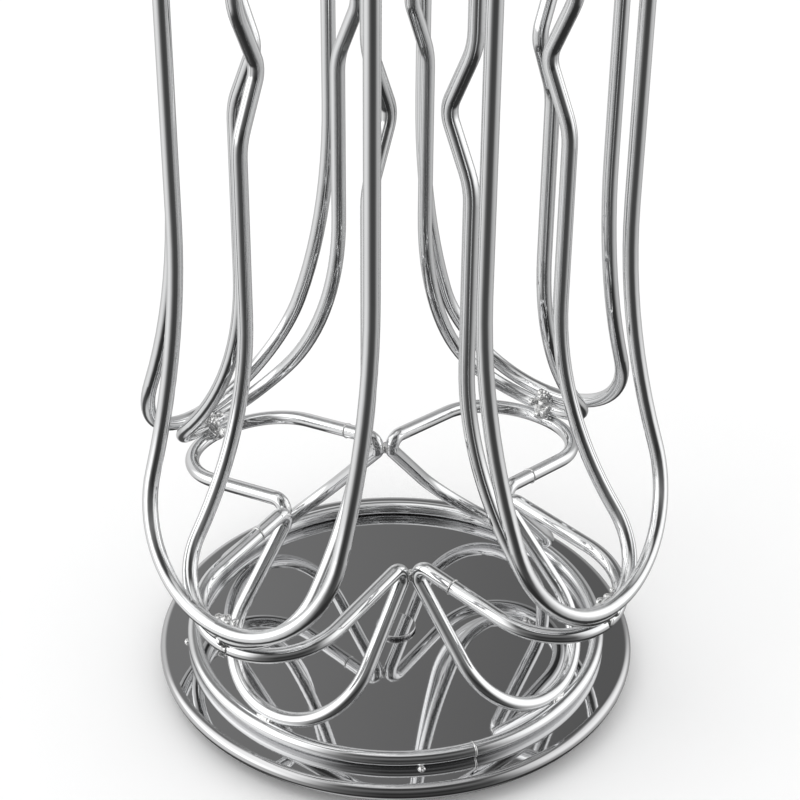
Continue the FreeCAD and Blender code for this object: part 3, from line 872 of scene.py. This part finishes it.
@dataclass
class Studio:
    """Pale floor, soft studio light, and the camera."""

    view_azimuth: float = math.radians(38.086)
    view_distance: float = 547.5 * MM
    view_offset: float = 0.7 * MM
    view_height: float = 444.7 * MM
    view_pitch: float = math.radians(32.04)
    view_roll: float = math.radians(0.55)
    view_lens: float = 91.6
    peak: float = 2.0
    floor_level: float = 1.0
    diffuse_level: float = 1.02
    far_wall: Surround = Surround((
        (-90.0, 0.55), (-74.0, 0.50), (-64.0, 0.06), (-48.0, 0.06), (-39.0, 0.45), (-10.0, 0.50),
        (0.0, 0.60), (18.0, 0.62), (28.0, 0.42),
        (34.0, 0.215), (46.0, 0.19), (56.0, 0.18), (64.0, 0.60), (90.0, 0.95),
    ))
    near_wall: Surround = Surround((
        (-90.0, 0.50), (-76.0, 0.45), (-66.0, 0.03), (-45.0, 0.03), (-28.0, 0.07), (-10.0, 0.05),
        (0.0, 0.03),
        (20.0, 0.12), (30.0, 0.20), (50.0, 0.06), (66.0, 0.06), (76.0, 0.70), (90.0, 0.95),
    ))
    left_box: Softbox = Softbox(-76.0, 12.0, 52.0, Surround((
        (-90.0, 0.0), (-46.0, 0.0), (-36.0, 0.25), (-6.0, 0.28), (3.0, 1.15), (58.0, 1.15),
        (66.0, 0.10), (90.0, 0.0),
    )))
    right_box: Softbox = Softbox(94.0, 16.0, 54.0, Surround((
        (-90.0, 0.0), (-46.0, 0.0), (-34.0, 0.22), (-24.0, 0.24), (-15.0, 0.45), (0.0, 0.95),
        (42.0, 0.95), (52.0, 0.10), (90.0, 0.0),
    )))
    near_wall_azimuth: float = 10.0
    near_wall_full: float = 14.0
    near_wall_gone: float = 84.0
    wall_gains: tuple[float, float] = (1.30, 0.72)
    wall_gain_reach: float = 0.13
    view_sensor: float = 36.0
    view_clip: tuple[float, float] = (0.01, 50.0)
    floor_size: float = 12.0
    floor_cloud: float = 0.4
    floor_shades: tuple[float, float] = (0.93, 0.95)
    floor_rough: float = 0.9
    lamp_size: float = 1.2
    lamp_spot: tuple[float, float, float] = (-0.7, -0.3, 1.8)
    lamp_power: float = 5.0

    def heading(self, azimuth: float) -> Vector:
        """The level direction that lies some degrees to the right of the camera's own azimuth."""
        turned = self.view_azimuth + math.radians(azimuth)
        return Vector((math.sin(turned), -math.cos(turned), 0.0))

    def place_camera(self) -> None:
        """Make the camera and set it as the scene's."""
        lens = bpy.data.cameras.new("camera")
        lens.lens = self.view_lens
        lens.sensor_width = self.view_sensor
        lens.clip_start, lens.clip_end = self.view_clip
        camera = bpy.data.objects.new("camera", lens)
        bpy.context.scene.collection.objects.link(camera)
        spot = Matrix.Translation((self.view_offset, -self.view_distance, self.view_height))
        tilt = Matrix.Rotation(math.pi / 2 - self.view_pitch, 4, "X")
        roll = Matrix.Rotation(self.view_roll, 4, "Z")
        camera.matrix_world = Matrix.Rotation(self.view_azimuth, 4, "Z") @ spot @ tilt @ roll
        bpy.context.scene.camera = camera

    def lay_floor(self) -> None:
        """Make the pale floor, which glossy rays pass through."""
        bm = bmesh.new()
        bmesh.ops.create_grid(bm, x_segments=1, y_segments=1, size=self.floor_size / 2)
        mesh = bpy.data.meshes.new("floor")
        bm.to_mesh(mesh)
        bm.free()
        floor = bpy.data.objects.new("floor", mesh)
        bpy.context.scene.collection.objects.link(floor)
        floor.visible_glossy = False
        paint = bpy.data.materials.new("pale_floor")
        paint.use_nodes = True
        sheet = NodeSheet(paint.node_tree)
        shader = paint.node_tree.nodes["Principled BSDF"]
        place = sheet.add("ShaderNodeTexCoord").outputs["Object"]
        clouds = sheet.noise(place, self.floor_cloud)
        darker, lighter = ((shade, shade, shade) for shade in self.floor_shades)
        sheet.join(sheet.blend(clouds, darker, lighter), shader.inputs["Base Color"])
        shader.inputs["Roughness"].default_value = self.floor_rough
        shader.inputs["Specular IOR Level"].default_value = 0.0
        mesh.materials.append(paint)

    def hang_lamp(self) -> None:
        """Hang one large soft lamp above and to the camera's left."""
        lamp = bpy.data.lights.new("soft_lamp", "AREA")
        lamp.shape = "SQUARE"
        lamp.size = self.lamp_size
        lamp.energy = self.lamp_power
        hung = bpy.data.objects.new("soft_lamp", lamp)
        bpy.context.scene.collection.objects.link(hung)
        spot = Matrix.Rotation(self.view_azimuth, 4, "Z") @ Vector(self.lamp_spot)
        hung.matrix_world = Matrix.Translation(spot) @ spot.to_track_quat("Z", "Y").to_matrix().to_4x4()
        hung.visible_glossy = False

    def surround(self) -> None:
        """Make the world: the studio that the chrome mirrors, and even light for the rest."""
        world = bpy.data.worlds.new("studio")
        bpy.context.scene.world = world
        world.use_nodes = True
        world.node_tree.nodes.clear()
        sheet = NodeSheet(world.node_tree)
        way = sheet.add("ShaderNodeTexCoord").outputs["Generated"]
        split = sheet.add("ShaderNodeSeparateXYZ")
        sheet.join(way, split.inputs[0])
        height = sheet.spread(split.outputs["Z"], 0.0, 1.0, -1.0, 1.0)
        level = self.level_length(sheet, split)
        rightness = sheet.reckon("DIVIDE", self.along(sheet, way, self.heading(90.0)), level)
        reach = self.wall_gain_reach
        gain = sheet.spread(rightness, *self.wall_gains, -reach, reach)
        far = self.scaled(sheet, self.far_wall.ramp(sheet, height, self.peak), gain)
        near = self.near_wall.ramp(sheet, height, self.peak)
        edges = (self.near_wall_full, self.near_wall_gone)
        nearness = self.facing(sheet, way, level, self.near_wall_azimuth, *edges)
        mixed = sheet.blend(nearness, far, near)
        for box in (self.left_box, self.right_box):
            window = self.facing(sheet, way, level, box.azimuth, box.full, box.gone, smooth=True)
            glow = self.scaled(sheet, box.glow.ramp(sheet, height, self.peak), window)
            total = sheet.add("ShaderNodeVectorMath", operation="ADD")
            sheet.join(mixed, total.inputs[0])
            sheet.join(glow, total.inputs[1])
            mixed = total.outputs["Vector"]
        mirrored = sheet.add("ShaderNodeBackground")
        sheet.join(mixed, mirrored.inputs["Color"])
        mirrored.inputs["Strength"].default_value = self.peak
        even = sheet.add("ShaderNodeBackground")
        even.inputs["Strength"].default_value = self.diffuse_level
        backdrop = sheet.add("ShaderNodeBackground")
        backdrop.inputs["Strength"].default_value = self.floor_level
        for plain in (even, backdrop):
            plain.inputs["Color"].default_value = WHITE
        kind = sheet.add("ShaderNodeLightPath")
        unless_glossy = sheet.add("ShaderNodeMixShader")
        sheet.join(kind.outputs["Is Glossy Ray"], unless_glossy.inputs["Fac"])
        sheet.join(even.outputs["Background"], unless_glossy.inputs[1])
        sheet.join(mirrored.outputs["Background"], unless_glossy.inputs[2])
        unless_seen = sheet.add("ShaderNodeMixShader")
        sheet.join(kind.outputs["Is Camera Ray"], unless_seen.inputs["Fac"])
        sheet.join(unless_glossy.outputs[0], unless_seen.inputs[1])
        sheet.join(backdrop.outputs["Background"], unless_seen.inputs[2])
        sheet.join(unless_seen.outputs[0], sheet.add("ShaderNodeOutputWorld").inputs["Surface"])

    def facing(
        self, sheet: NodeSheet, way: bpy.types.NodeSocket, level: bpy.types.NodeSocket,
        azimuth: float, full: float, gone: float, smooth: bool = False,
    ) -> bpy.types.NodeSocket:
        """How squarely a direction looks at an azimuth, as 1 within `full` degrees and 0 past `gone`.

        Args:
            sheet: the world's node tree.
            way: the direction.
            level: the length of its level part.
            azimuth: degrees to the right of the camera.
            full: degrees off the azimuth that still count fully.
            gone: degrees off the azimuth past which nothing is left.
            smooth: ease in and out between the two.

        Returns:
            The share.
        """
        cosine = sheet.reckon("DIVIDE", self.along(sheet, way, self.heading(azimuth)), level)
        start, end = math.cos(math.radians(gone)), math.cos(math.radians(full))
        return sheet.spread(cosine, 0.0, 1.0, start, end, smooth=smooth)

    @staticmethod
    def scaled(
        sheet: NodeSheet, colour: bpy.types.NodeSocket, share: bpy.types.NodeSocket
    ) -> bpy.types.NodeSocket:
        """A colour times a factor."""
        node = sheet.add("ShaderNodeVectorMath", operation="SCALE")
        sheet.join(colour, node.inputs[0])
        sheet.join(share, node.inputs["Scale"])
        return node.outputs["Vector"]

    @staticmethod
    def along(sheet: NodeSheet, way: bpy.types.NodeSocket, axis: Vector) -> bpy.types.NodeSocket:
        """The part of a direction that lies along an axis."""
        dot = sheet.add("ShaderNodeVectorMath", operation="DOT_PRODUCT")
        sheet.join(way, dot.inputs[0])
        dot.inputs[1].default_value = axis
        return dot.outputs["Value"]

    @staticmethod
    def level_length(sheet: NodeSheet, split: bpy.types.Node) -> bpy.types.NodeSocket:
        """The length of a direction's level part, never quite zero."""
        squares = [sheet.reckon("MULTIPLY", split.outputs[axis], split.outputs[axis]) for axis in "XY"]
        length = sheet.reckon("SQRT", sheet.reckon("ADD", *squares))
        return sheet.reckon("MAXIMUM", length, LEAST_LEVEL)

    def build(self) -> None:
        """Set up the whole studio."""
        self.place_camera()
        self.lay_floor()
        self.hang_lamp()
        self.surround()
        bpy.context.scene.view_settings.view_transform = "Standard"


def main() -> None:
    """Load the frame, and build the tower and the studio."""
    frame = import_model()
    CapsuleTower(frame).build()
    Studio().build()


if __name__ == "__main__":
    logging.basicConfig(level=logging.INFO, format="%(message)s")
    main()
